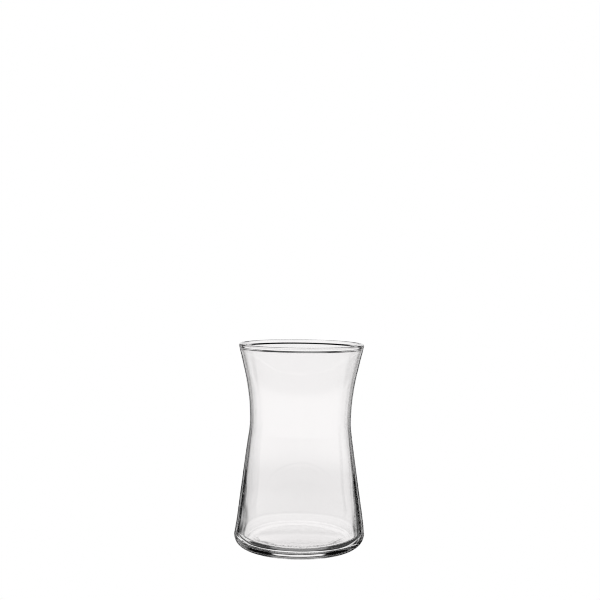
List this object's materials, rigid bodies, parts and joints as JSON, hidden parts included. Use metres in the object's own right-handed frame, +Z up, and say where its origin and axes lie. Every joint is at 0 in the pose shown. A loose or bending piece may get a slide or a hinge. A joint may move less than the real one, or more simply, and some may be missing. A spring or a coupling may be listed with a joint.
{
  "type": "tea glass",
  "caption": "Clear stemless tea glass with a flared mouth, a narrow waist to hold it by and a thick rounded foot that stands flat.",
  "frame": {"origin": "centre of the underside, in the plane of the bearing ring that the glass stands on", "axes": "+Z up along the glass's axis, from the foot to the mouth; the glass is round, so +X and +Y are any two directions across it"},
  "size_m": [0.0592, 0.0592, 0.092],
  "materials": {
    "glass": "clear soda-lime glass, fire polished"
  },
  "bodies": {
    "root": {"glass": "glass"}
  },
  "joints": []
}
